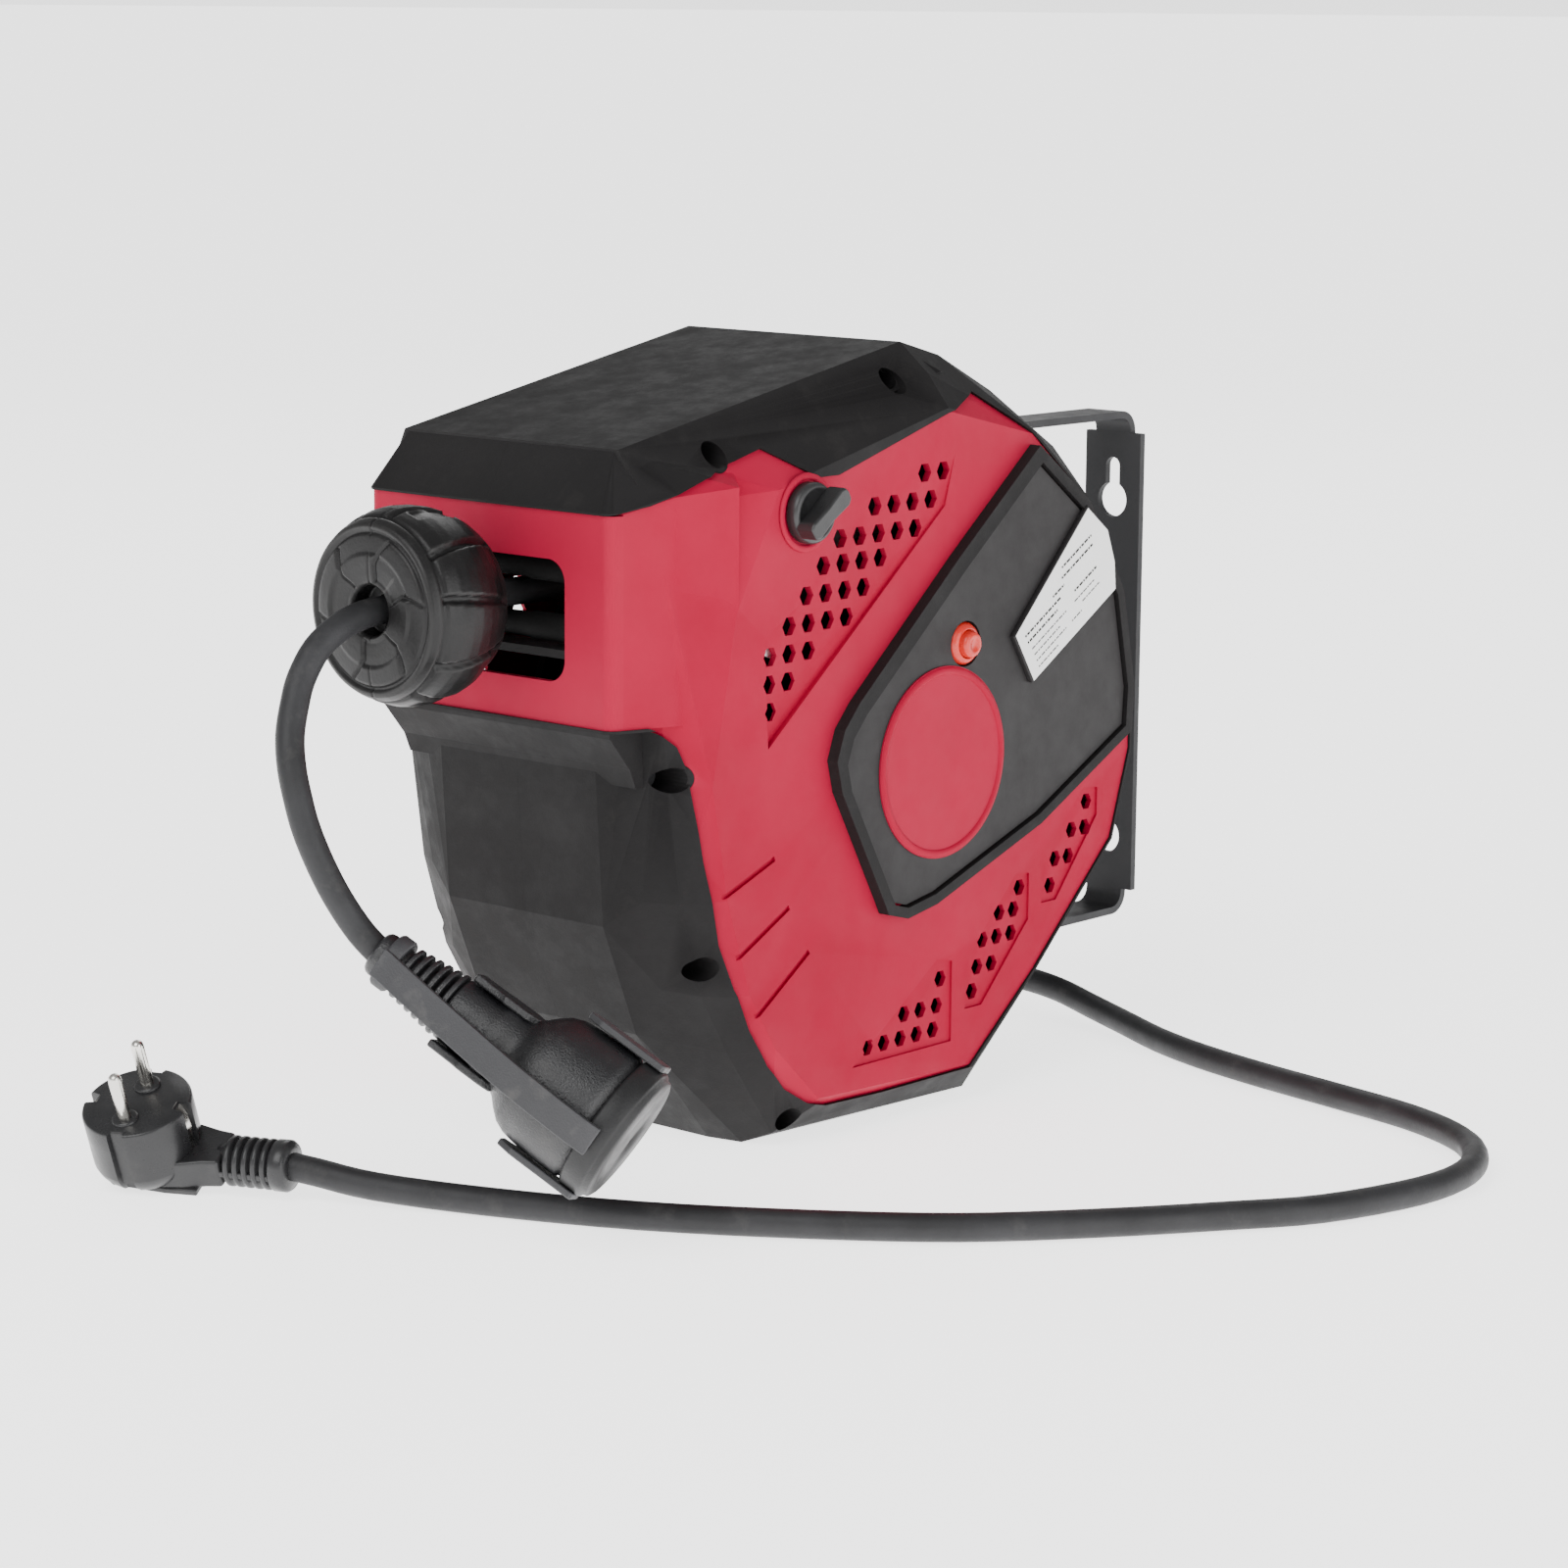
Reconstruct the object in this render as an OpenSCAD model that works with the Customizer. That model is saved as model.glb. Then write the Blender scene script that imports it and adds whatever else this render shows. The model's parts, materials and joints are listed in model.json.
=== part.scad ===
// Spring-rewind extension cord reel on a swivelling wall bracket.
// Frame: origin midway between the bracket's keyholes on the wall plane, +Z up,
// the wall at Y = 0, the cable outlet facing -Y. Millimetres.

/* [Housing] */
// Half width of the housing at its flat sides
side_x = 75; // [74:0.5:77]
// Half width of the housing at its front corners
front_x = 61; // [60:0.5:63]
// Wall thickness of the shells and covers
wall = 3; // [2.5:0.1:3.5]
// How far the black covers stand proud of the red shells
proud = 1; // [0.6:0.1:1.4]
// Height of the raised trim frame on each side
trim_h = 5; // [4:0.5:6]

/* [Wall bracket] */
// Width of the bracket's back plate
plate_w = 28; // [26:1:32]
// Thickness of the bracket's steel
steel = 3; // [2:0.5:3.5]
// Distance between the two keyholes
keyhole_gap = 142; // [136:1:146]
// Radius of the round part of a keyhole
keyhole_r = 7.3; // [7:0.1:7.8]

/* [Cable] */
// Diameter of the rubber cable
cable_d = 10; // [9:0.1:10]
// Length of cable that the pull-out joint shows
pull_travel = 85; // [60:1:85]

/* [Drum] */
// Radius of the drum's flanges
flange_r = 100; // [97:1:102]
// Outside radius of the full winding
winding_r = 92; // [86:1:92]

/* [Stopper and plug] */
// Radius of the stopper ball
ball_r = 35; // [34:0.5:36]
// Diameter of a contact pin
pin_d = 4.8; // [4:0.1:4.8]

/* [Hidden] */

$fn = 64;
eps = 0.02;
axle_y = -208;
axle_z = -4;
axle_r = 8;
swivel_y = -84;
rod_r = 4;
cable_r = cable_d / 2;
floor_z = -138;

red = "#c2334f";
black = "#2b2a2b";
grey = "#474546";

// ---------------------------------------------------------------- outlines (Y, Z)

// Full outline of the housing, at its narrow top
mid_outline = [
    [-347, 24], [-342, -40], [-332, -73], [-318, -97], [-289, -137], [-176, -137],
    [-140, -97], [-97, -50], [-86, -14], [-86, 12], [-95, 52], [-116, 92], [-126, 112],
    [-152, 128], [-183, 143], [-205, 149], [-354, 120]
];
// Full outline where the front starts to round off
inner_outline = [[-352, 24], [-347, -50], [-330, -92], [-292, -137], [-200, -137], [-200, 24]];
// Outline where the chamfers start
shoulder_outline = [
    [-344, 24], [-335, -40], [-324, -75], [-310, -98], [-286, -132], [-177, -135],
    [-141, -96], [-98, -49], [-87, -14], [-87, 12], [-96, 51], [-118, 90], [-128, 106],
    [-153, 121], [-203, 138], [-351, 101]
];
// Outline of the flat side
side_outline = [
    [-330, 2], [-322, -40], [-310, -76], [-296, -98], [-272, -121], [-184, -124],
    [-147, -93], [-100, -48], [-89, -14], [-89, 12], [-98, 51], [-121, 88],
    [-153, 114], [-204, 126], [-296, 104], [-318, 62]
];
// Red area of the side, which the black covers surround
red_outline = [
    [-368, 24.5], [-352, 24.5], [-346, 22], [-341, 17], [-338, 9], [-336, -1], [-331, -25],
    [-323, -56], [-316, -73], [-307, -90], [-297, -105], [-288, -115], [-277, -122],
    [-266, -125], [-235, -126], [-186, -125], [-147, -93], [-100, -48], [-89, -14],
    [-89, 12], [-98, 51], [-121, 88], [-153, 114], [-179, 131], [-204, 125],
    [-265, 107], [-277, 107], [-296, 118], [-328, 110], [-352, 102], [-368, 99]
];
// Black field on the side, which the trim frame borders
field_outline = [
    [-154, 110], [-201, 72], [-257, 24], [-265, 15], [-269, 4], [-266, -8],
    [-245, -46], [-239, -57], [-228, -60], [-211, -57], [-149, -35], [-93, -6],
    [-92, 12], [-100, 50], [-122, 86]
];
// Rating label on the black field
label_outline = [
    [-125, 85], [-169, 39], [-157, 20], [-106, 51], [-107, 62], [-112, 75]
];

front_y = -366;
head_low = 24.5;
head_high = 99;
seam_y = -361;

// ---------------------------------------------------------------- helpers

module along_x(x0, x1) translate([x0, 0, 0]) rotate([90, 0, 90]) linear_extrude(x1 - x0) children();

module drum_disc(r, x0, x1)
    translate([x0, axle_y, axle_z]) rotate([0, 90, 0]) cylinder(r = r, h = x1 - x0);

module x_disc(y, z, r, x0, x1)
    translate([x0, y, z]) rotate([0, 90, 0]) cylinder(r = r, h = x1 - x0);

module both_sides() {
    children();
    mirror([1, 0, 0]) children();
}

module station(x, outline, inset)
    both_sides() along_x(x - inset, x - inset + eps) offset(delta = -inset) polygon(outline);

// Main body of the housing, shrunk by inset on every face
module core_solid(inset) hull() {
    station(38, inner_outline, inset);
    station(52, mid_outline, inset);
    station(64, shoulder_outline, inset);
    station(side_x, side_outline, inset);
}

// Head that carries the cable outlet
module head_solid(inset) hull() {
    both_sides() {
        translate([front_x - 5, front_y + 5, head_low + inset])
            cylinder(r = 5 - inset, h = head_high - head_low - 2 * inset, $fn = 32);
        translate([68 - inset, -342, head_low + inset]) cube([eps, eps, 80 - 2 * inset]);
        translate([side_x - inset, -317, head_low + inset]) cube([eps, eps, 82 - 2 * inset]);
        translate([50 - inset, -354 + inset, 119 - inset]) cube([eps, eps, eps]);
        translate([50 - inset, -300, 119 - inset]) cube([eps, eps, eps]);
    }
}

module housing_solid(inset) {
    core_solid(inset);
    head_solid(inset);
}

// Screw places on one side: [y, z] of each recess in the black covers
top_screws = [[-317, 117], [-221, 137]];
low_screws = [[-341, 5], [-326, -65], [-282, -128]];
recess_r = 4.6;
top_recess = 49;
low_recess = 51;
boss_r = 6.2;

// Screw bosses of the black covers, kept inside the housing's outer face
module screw_bosses(places, from, gap) intersection() {
    core_solid(gap > 0 ? -2 : 0);
    for (p = places) x_disc(p[0], p[1], boss_r + gap, from - 5 - gap, side_x + gap);
}

// ---------------------------------------------------------------- wall bracket

arm_w = 18;
plate_low = -93;
plate_high = 99;
arm_top = 108.5;
arm_low = -103;
bend_r = 9;

module keyhole(z) {
    translate([0, -steel - 1, z]) rotate([-90, 0, 0]) cylinder(r = keyhole_r, h = steel + 2);
    translate([0, -steel - 1, z + 14]) rotate([-90, 0, 0]) cylinder(r = 3.5, h = steel + 2);
    translate([-3.5, -steel - 1, z]) cube([7, steel + 2, 14]);
}

// One arm with its bend; its outer face is at z, and up is +1 or -1
module bracket_arm(z, up) {
    inner = z - up * steel;
    translate([-arm_w / 2, swivel_y, min(z, inner)]) cube([arm_w, -swivel_y - bend_r, steel]);
    translate([0, swivel_y, min(z, inner)]) cylinder(r = arm_w / 2, h = steel);
    translate([-arm_w / 2, -bend_r, z - up * bend_r])
        intersection() {
            rotate([0, 90, 0]) difference() {
                cylinder(r = bend_r, h = arm_w);
                translate([0, 0, -1]) cylinder(r = bend_r - steel, h = arm_w + 2);
            }
            translate([0, 0, up > 0 ? 0 : -bend_r]) cube([arm_w, bend_r, bend_r]);
        }
}

module wall_bracket() color(black) difference() {
    union() {
        translate([-plate_w / 2, -steel, plate_low]) cube([plate_w, steel, plate_high - plate_low]);
        translate([-arm_w / 2, -steel, plate_high - 1])
            cube([arm_w, steel, arm_top - bend_r - plate_high + 1]);
        translate([-arm_w / 2, -steel, arm_low + bend_r])
            cube([arm_w, steel, plate_low - arm_low - bend_r + 1]);
        bracket_arm(arm_top, 1);
        bracket_arm(arm_low, -1);
    }
    for (s = [-1, 1]) keyhole(s * keyhole_gap / 2);
    translate([0, swivel_y, arm_low - 1]) cylinder(r = rod_r, h = arm_top - arm_low + 2);
}

module swivel_rod() color("silver") translate([0, swivel_y, 0]) {
    translate([0, 0, arm_low - 9]) cylinder(r = rod_r, h = arm_top - arm_low + 9);
    translate([0, 0, arm_top]) cylinder(r = 7, h = 4.5);
}

module swivel_nut() color("silver") translate([0, swivel_y, arm_low - 7]) difference() {
    cylinder(r = 7.5, h = 5.4, $fn = 6);
    translate([0, 0, -1]) cylinder(r = rod_r, h = 8);
}

washer_h = 1.6;
module swivel_washers() color("silver")
    for (z = [arm_low - washer_h, arm_low + steel])
        translate([0, swivel_y, z]) difference() {
            cylinder(r = 8, h = washer_h);
            translate([0, 0, -1]) cylinder(r = rod_r, h = washer_h + 2);
        }

// ---------------------------------------------------------------- housing

knob_y = -282;
knob_z = 95;
button_y = -195;
button_z = 39;
neck_r = 8;
gland_at = [-42, -125, -80.6];
gland_tilt = 133;

// Rows of one vent field: [z, y of the first hole, number of holes, their spacing]
upper_vents = [
    [25, -299, 1, 10.7], [35, -300, 2, 10.7], [45, -300, 3, 10.7], [55, -290, 4, 10.7],
    [65, -281, 4, 10.7], [75, -272, 4, 10.7], [84, -263, 5, 10.7], [94, -244, 4, 10.7],
    [104, -216, 2, 10.7]
];
low_vents = [
    [-88, -202, 1, 9.5], [-98, -223, 3, 9.5], [-107, -244, 5, 9.5],
    [-60, -155, 1, 8.6], [-68, -167, 2, 8.6], [-77, -177, 3, 8.6], [-87, -180, 2, 8.6],
    [-96, -183, 1, 8.6],
    [-32, -114, 1, 8.2], [-42, -123, 2, 8.2], [-52, -133, 2, 8.2], [-62, -136, 1, 8.2]
];
vent_r = 3.8;

module vent_holes(rows, r)
    for (row = rows, k = [0 : row[2] - 1])
        translate([side_x - 8, row[1] + k * row[3], row[0]])
            rotate([90, 0, 90]) cylinder(r = r, h = 12, $fn = 6);

// Shallow wedge around the upper vents, deepest along its front edge
field_turn = 28.9;
upper_field = [[-301, 12], [-204, 91], [-198, 112], [-303, 52]];
module upper_recess()
    translate([side_x, -303, 52]) rotate([field_turn, 0, 0]) rotate([0, 3.4, 0]) along_x(0, 6)
        polygon([for (p = upper_field) let (y = p[0] + 303, z = p[1] - 52)
            [y * cos(field_turn) + z * sin(field_turn), z * cos(field_turn) - y * sin(field_turn)]]);

// Shallow fields around the lower vents, and the three grooves at the front
low_fields = [
    [[-253, -113], [-196, -113], [-196, -82], [-205, -80]],
    [[-188, -102], [-178, -102], [-150, -73], [-150, -55], [-158, -54], [-188, -84]],
    [[-142, -68], [-133, -68], [-108, -38], [-108, -27], [-117, -26], [-142, -52]]
];
grooves = [[[-331, -41], [-297, -28]], [[-323, -65], [-289, -47]], [[-311, -88], [-278, -65]]];
module low_recess() {
    for (f = low_fields) along_x(side_x - 0.8, side_x + 2) polygon(f);
    for (g = grooves)
        let (d = g[1] - g[0], n = [d[1], -d[0]] / norm(d))
            along_x(side_x - 1.2, side_x + 2) polygon([g[0] - n, g[1] - n, g[1] + n, g[0] + n]);
}

module side_shell() difference() {
    intersection() {
        housing_solid(0);
        along_x(52, side_x + 1) polygon(red_outline);
        translate([0, seam_y, -200]) cube([100, 400, 400]);
    }
    core_solid(wall);
    head_solid(wall);
    vent_holes(upper_vents, vent_r);
    vent_holes(low_vents, vent_r - 0.4);
    upper_recess();
    low_recess();
    screw_bosses(top_screws, top_recess, 0.1);
    screw_bosses(low_screws, low_recess, 0.1);
}

module right_shell() color(red) difference() {
    side_shell();
    x_disc(button_y, button_z, neck_r + 0.1, side_x - 10, side_x + 1);
    x_disc(knob_y, knob_z, 4.2, side_x - 10, side_x + 1);
}

module left_shell() color(red) mirror([1, 0, 0]) side_shell();

window_w = 76;
window_low = 39;
window_high = 82;
window_r = 8;

module window_cut() {
    translate([-window_w / 2 + window_r, -400, window_low])
        cube([window_w - 2 * window_r, 60, window_high - window_low]);
    translate([-window_w / 2, -400, window_low + window_r])
        cube([window_w, 60, window_high - window_low - 2 * window_r]);
    for (sx = [-1, 1], z = [window_low + window_r, window_high - window_r])
        translate([sx * (window_w / 2 - window_r), -400, z]) rotate([-90, 0, 0])
            cylinder(r = window_r, h = 60);
}

module front_panel() color(red) difference() {
    intersection() {
        head_solid(0);
        translate([-80, front_y - 1, head_low - 1]) cube([160, seam_y - front_y + 1, head_high - head_low + 1]);
    }
    intersection() {
        head_solid(wall);
        translate([-80, front_y, head_low + wall]) cube([160, 30, head_high - head_low - wall]);
    }
    window_cut();
}

// Regions of the top and the lower covers, which meet at the front and at the rear
high_region = [[-420, 60], [-208, 60], [-208, 0.02], [0, 0.02], [0, 300], [-420, 300]];
low_region = [[-420, 59.96], [-208.04, 59.96], [-208.04, -0.02], [0, -0.02], [0, -300], [-420, -300]];

// Fillet between the lower covers and the head
flare = [[-344, 24.46], [-364, 24.46], [-363, 21], [-358, 15], [-353, 9], [-350, 2], [-344, 2]];

// Ring of wall outside the red area, for one half; high picks the top or the lower cover
module cover(high) difference() {
    union() {
        difference() {
            intersection() {
                housing_solid(-proud);
                along_x(0.02, 100) polygon(high ? high_region : low_region);
            }
            along_x(-1, side_x + 5) polygon(red_outline);
            core_solid(wall);
            head_solid(wall);
        }
        screw_bosses(high ? top_screws : low_screws, high ? top_recess : low_recess, 0);
        if (!high) along_x(0.02, 57) difference() {
            polygon(flare);
            polygon(red_outline);
        }
    }
    for (p = high ? top_screws : low_screws) let (x = high ? top_recess : low_recess) {
        x_disc(p[0], p[1], recess_r, x, side_x + 5);
        x_disc(p[0], p[1], 2, x - 10, side_x + 5);
    }
    barrel_cut();
}

// Room for the hinge barrel in the rear of the covers
module barrel_cut() {
    translate([0, swivel_y, -200]) cylinder(r = barrel_r + 0.2, h = 400);
    along_x(-web_x - 0.2, web_x + 0.2) offset(delta = 0.2) polygon(web_outline);
}

module top_cover_right() color(grey) cover(true);
module top_cover_left() color(grey) mirror([1, 0, 0]) cover(true);

module lower_cover_right() color(black) cover(false);
module gland_place() translate(gland_at) rotate([gland_tilt, 0, 180]) children();

module lower_cover_left() color(black) difference() {
    mirror([1, 0, 0]) cover(false);
    gland_place() translate([0, 0, -20]) cylinder(r = 9, h = 40);
}

barrel_r = 13;
barrel_low = -98.2;
barrel_high = 105;
web_x = 4;
web_outline = [
    [-84, -98], [-84, 98], [-100, 98], [-124, 84], [-109, 68], [-95, 40],
    [-88, 12], [-88, -14], [-100, -48], [-124, -75], [-116, -86], [-98, -98]
];

// Upright hinge barrel behind the housing, with a web that joins it to the rear wall
module hinge_barrel() color(black) difference() {
    union() {
        translate([0, swivel_y, barrel_low]) cylinder(r = barrel_r, h = barrel_high - barrel_low);
        along_x(-web_x, web_x) polygon(web_outline);
    }
    translate([0, swivel_y, -120]) cylinder(r = rod_r + 0.06, h = 260);
}

// Field inside the trim frame, which is wider along its upper edge
module inner_field(gap) offset(delta = -gap) intersection() {
    offset(delta = -4) polygon(field_outline);
    translate([1.6, -1.6]) offset(delta = -4) polygon(field_outline);
}

module side_trim() along_x(side_x + 0.02, side_x + trim_h) difference() {
    polygon(field_outline);
    inner_field(0);
}

module side_panel() difference() {
    along_x(side_x + 0.02, side_x + trim_h - 1.5) inner_field(0.9);
    drum_disc(36.1, side_x - 1, side_x + 10);
}

module right_trim() color(black) difference() {
    side_trim();
    along_x(side_x + 2, side_x + trim_h + 1) offset(delta = 0.1) polygon(label_outline);
}
module left_trim() color(black) mirror([1, 0, 0]) side_trim();
module right_panel() color(grey) difference() {
    side_panel();
    x_disc(button_y, button_z, 8.6, side_x - 1, side_x + 10);
}
module left_panel() color(grey) mirror([1, 0, 0]) side_panel();

module badge() drum_disc(36, side_x + 0.02, side_x + trim_h - 0.8);
module badge_right() color(red) badge();
module badge_left() color(red) mirror([1, 0, 0]) badge();

module rating_label() color("white")
    along_x(side_x + trim_h - 1.48, side_x + trim_h + 1) polygon(label_outline);

// Cover screws, in their recesses on both sides
module housing_screws() color("dimgray") both_sides()
    for (p = concat(top_screws, low_screws)) let (x = p[1] > 100 ? top_recess : low_recess) {
        x_disc(p[0], p[1], 4, x, x + 3);
        x_disc(p[0], p[1], 1.9, x - 10, x);
    }

// ---------------------------------------------------------------- cable outlet

lead_z = 66.5;
roller_y = -354;
roller_r = 5;
roller_off = cable_r + roller_r + 0.6;
roller_pin_r = 2;
cheek_x = 39;

module outlet_frame() color(black) difference() {
    union() {
        for (s = [-1, 1])
            translate([s * (cheek_x + 2) - 2, -361, lead_z - 19]) cube([4, 14, 38]);
        for (z = [lead_z - 20, lead_z + 17])
            translate([-cheek_x - 4, -361, z]) cube([2 * cheek_x + 8, 14, 3]);
    }
    for (s = [-1, 1])
        x_disc(roller_y, lead_z + s * roller_off, roller_pin_r, -50, 50);
}

module outlet_roller(s) difference() {
    x_disc(roller_y, lead_z + s * roller_off, roller_r, -cheek_x + 0.6, cheek_x - 0.6);
    x_disc(roller_y, lead_z + s * roller_off, roller_pin_r + 0.06, -50, 50);
}

module upper_roller() color("gainsboro") outlet_roller(1);
module lower_roller() color("gainsboro") outlet_roller(-1);

module roller_pins() color("silver")
    for (s = [-1, 1]) x_disc(roller_y, lead_z + s * roller_off, roller_pin_r, -cheek_x - 4, cheek_x + 4);

// ---------------------------------------------------------------- drum and its insides

drum_x = 36;
hub_r = 48;
bush_r = 10;
inner_x = side_x - wall;

module drum_axle() color("silver") drum_disc(axle_r, -inner_x + 0.5, inner_x - 0.5);

module axle_bosses() color(black) both_sides() difference() {
    drum_disc(18, inner_x - 3.9, inner_x - 0.05);
    drum_disc(axle_r, inner_x - 5, inner_x + 1);
}

module drum_core() color(black) difference() {
    union() {
        difference() {
            drum_disc(hub_r, -drum_x, drum_x);
            drum_disc(hub_r - 3, -drum_x - 1, drum_x + 1);
        }
        for (x = [-drum_x, drum_x - 3]) drum_disc(hub_r - 1, x, x + 3);
        drum_disc(14, -drum_x, drum_x);
    }
    drum_disc(bush_r, -drum_x - 1, drum_x + 1);
}

module drum_bushes() color("tan") both_sides() difference() {
    drum_disc(bush_r, drum_x - 14, drum_x);
    drum_disc(axle_r + 0.05, drum_x - 15, drum_x + 1);
}

module drum_flange() difference() {
    drum_disc(flange_r, drum_x + 0.02, drum_x + 3);
    drum_disc(bush_r + 2, drum_x - 1, drum_x + 4);
    for (a = [30 : 60 : 330])
        x_disc(axle_y + 72 * cos(a), axle_z + 72 * sin(a), 11, drum_x - 1, drum_x + 4);
}

module drum_flange_right() color(black) drum_flange();
module drum_flange_left() color(black) mirror([1, 0, 0]) drum_flange();

module wound_cable() color(grey) difference() {
    drum_disc(winding_r, -drum_x + 0.1, drum_x - 0.1);
    drum_disc(hub_r + 0.05, -drum_x - 1, drum_x + 1);
}

ratchet_x0 = drum_x + 3.02;
ratchet_x1 = drum_x + 9;
tooth_tip = 94;
tooth_root = 88.5;
teeth = 24;

module ratchet_ring() color("silver") difference() {
    translate([0, axle_y, axle_z]) along_x(ratchet_x0, ratchet_x1)
        polygon([for (k = [0 : teeth - 1], t = [0, 1])
            let (a = (k + t * 0.85) * 360 / teeth, r = t == 0 ? tooth_root : tooth_tip)
            [r * cos(a), r * sin(a)]]);
    drum_disc(82.5, ratchet_x0 - 1, ratchet_x1 + 1);
}

ring_x = [43, 50, 57];
carrier_r = 24;

module slip_ring_carrier() color("ivory") difference() {
    drum_disc(carrier_r, drum_x + 3.02, 63);
    drum_disc(axle_r + 1, drum_x, 64);
}

module slip_rings() color("goldenrod")
    for (x = ring_x) difference() {
        drum_disc(carrier_r + 2, x, x + 4);
        drum_disc(carrier_r, x - 1, x + 5);
    }

holder_y = axle_y + 32;
brush_h = 3.2;

module brush_holder() color(black) difference() {
    translate([41, holder_y, axle_z - 8]) cube([inner_x - 41.05, 26, 16]);
    for (x = ring_x) translate([x + 0.4, holder_y - 1, axle_z - 2.6]) cube([brush_h, 20, 5.2]);
}

module carbon_brushes() color("dimgray")
    for (x = ring_x)
        translate([x + 0.45, axle_y + carrier_r + 2.1, axle_z - 2.55]) cube([brush_h - 0.1, 15, 5.1]);

case_r = 62;
case_x0 = -66;
case_x1 = -drum_x - 3.02;

module spring_case() color("slategray") difference() {
    drum_disc(case_r, case_x0, case_x1);
    drum_disc(case_r - 2.5, case_x0 - 1, case_x1 - 2);
    drum_disc(axle_r + 1, case_x0 - 1, case_x1 + 1);
}

module spring_cover() color("slategray") difference() {
    drum_disc(case_r, case_x0 - 1.5, case_x0 - 0.02);
    drum_disc(axle_r + 6, case_x0 - 3, case_x0 + 1);
}

spring_turns = 7;
spring_start = 10;
spring_pitch = 6.9;
spring_steps = 24;

// Spiral mainspring, a band that grows outward by one pitch a turn
module power_spring() color("lightsteelblue")
    translate([0, axle_y, axle_z]) along_x(case_x0 + 1.5, case_x1 - 3.5)
        polygon([for (side = [0, 1], k = [0 : spring_turns * spring_steps])
            let (n = side == 0 ? k : spring_turns * spring_steps - k,
                 r = spring_start + spring_pitch * n / spring_steps + side * 0.8,
                 a = 360 * n / spring_steps)
            [r * cos(a), r * sin(a)]]);

// ---------------------------------------------------------------- reset button, knob and catch

module thermal_cutout() color(black) difference() {
    union() {
        translate([50, button_y - 10, button_z - 11]) cube([18, 20, 22]);
        x_disc(button_y, button_z, neck_r, 67, side_x + 2);
    }
    x_disc(button_y, button_z, 5.4, 66, side_x + 3);
}

module reset_button() color("#b8322c") {
    x_disc(button_y, button_z, 5.2, side_x - 4, side_x + 8);
    x_disc(button_y, button_z, 2.4, side_x - 6, side_x - 3);
}

lobe_x0 = 40;
lobe_x1 = 44.5;

module lock_knob() color(black) {
    x_disc(knob_y, knob_z, 11, side_x + 0.4, side_x + 6);
    difference() {
        translate([side_x + 6, knob_y - 10.5, knob_z - 3.2]) cube([6.5, 21, 6.4]);
        x_disc(knob_y, knob_z + 40, 37.6, side_x + 5, side_x + 20);
    }
    x_disc(knob_y, knob_z, 4, lobe_x0, side_x + 1);
    translate([lobe_x0, knob_y, knob_z - 3]) cube([lobe_x1 - lobe_x0, 11, 6]);
    x_disc(knob_y + 11, knob_z, 3, lobe_x0, lobe_x1);
}

pawl_y = -296;
pawl_z = 50;
pawl_lift = 9.4;
pawl_len = 32.5;
pawl_angle = 38.4;

// Catch, drawn against the ratchet and then lifted to its free place
module catch_pawl() color("silver")
    translate([0, pawl_y, pawl_z]) along_x(lobe_x0, lobe_x1) rotate(pawl_lift) difference() {
        union() {
            rotate(pawl_angle)
                polygon([[-1, -4], [pawl_len - 6, -4], [pawl_len, 0], [pawl_len - 4, 4], [-1, 5]]);
            circle(r = 6.5);
            translate([12, 8]) square([4, 21.5]);
        }
        circle(r = 2.56);
    }

module pawl_pin() color("silver") {
    x_disc(pawl_y, pawl_z, 2.5, lobe_x0 - 0.5, 60);
    x_disc(pawl_y, pawl_z, 6, 60, inner_x - 0.05);
}

// ---------------------------------------------------------------- stopper ball

ball_y = -408.5;
ball_front = -423.5;
ball_rear = -379;
neck_rear = -368;

module ball_half() difference() {
    union() {
        intersection() {
            translate([0, ball_y, lead_z]) sphere(r = ball_r);
            translate([0.02, ball_front, lead_z - 40]) cube([40, ball_rear - ball_front, 80]);
        }
        intersection() {
            translate([0, ball_rear - 2, lead_z]) rotate([-90, 0, 0]) cylinder(r = 13, h = neck_rear - ball_rear + 2);
            translate([0.02, ball_front, lead_z - 40]) cube([40, 80, 80]);
        }
    }
    translate([0, -430, lead_z]) rotate([-90, 0, 0]) cylinder(r = cable_r, h = 80);
    translate([0, -430, lead_z]) rotate([-90, 0, 0]) cylinder(r = 9, h = 430 + ball_front + 8);
    for (s = [-1, 1]) x_disc(ball_y, lead_z + 17 * s, 2, -1, 26);
    for (s = [-1, 1]) x_disc(ball_y, lead_z + 17 * s, 4.2, 22, 40);
}

module stopper_right() color(black) ball_half();
module stopper_left() color(black) mirror([1, 0, 0]) ball_half();

module stopper_screws() color("silver")
    for (s = [-1, 1]) {
        x_disc(ball_y, lead_z + 17 * s, 1.95, -21, 22);
        x_disc(ball_y, lead_z + 17 * s, 4, 22, 25);
    }

lead_start = -410;
lead_end = -273.5;

module inner_lead() color(grey)
    translate([0, lead_start, lead_z]) rotate([-90, 0, 0]) cylinder(r = cable_r, h = lead_end - lead_start);

// ---------------------------------------------------------------- cables

// Route of the output cable, from the stopper ball down to the socket
output_route = [
    [0, -410, 66.5], [0, -425, 65.5], [0, -437, 62], [0, -447, 56], [1, -455, 47],
    [3, -460, 39], [6, -465, 29], [10, -468, 19], [14, -469, 9], [18, -469, -1],
    [23, -467, -13], [28.5, -464, -24.5], [34.5, -460, -35], [40.5, -456.5, -42]
];

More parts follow.
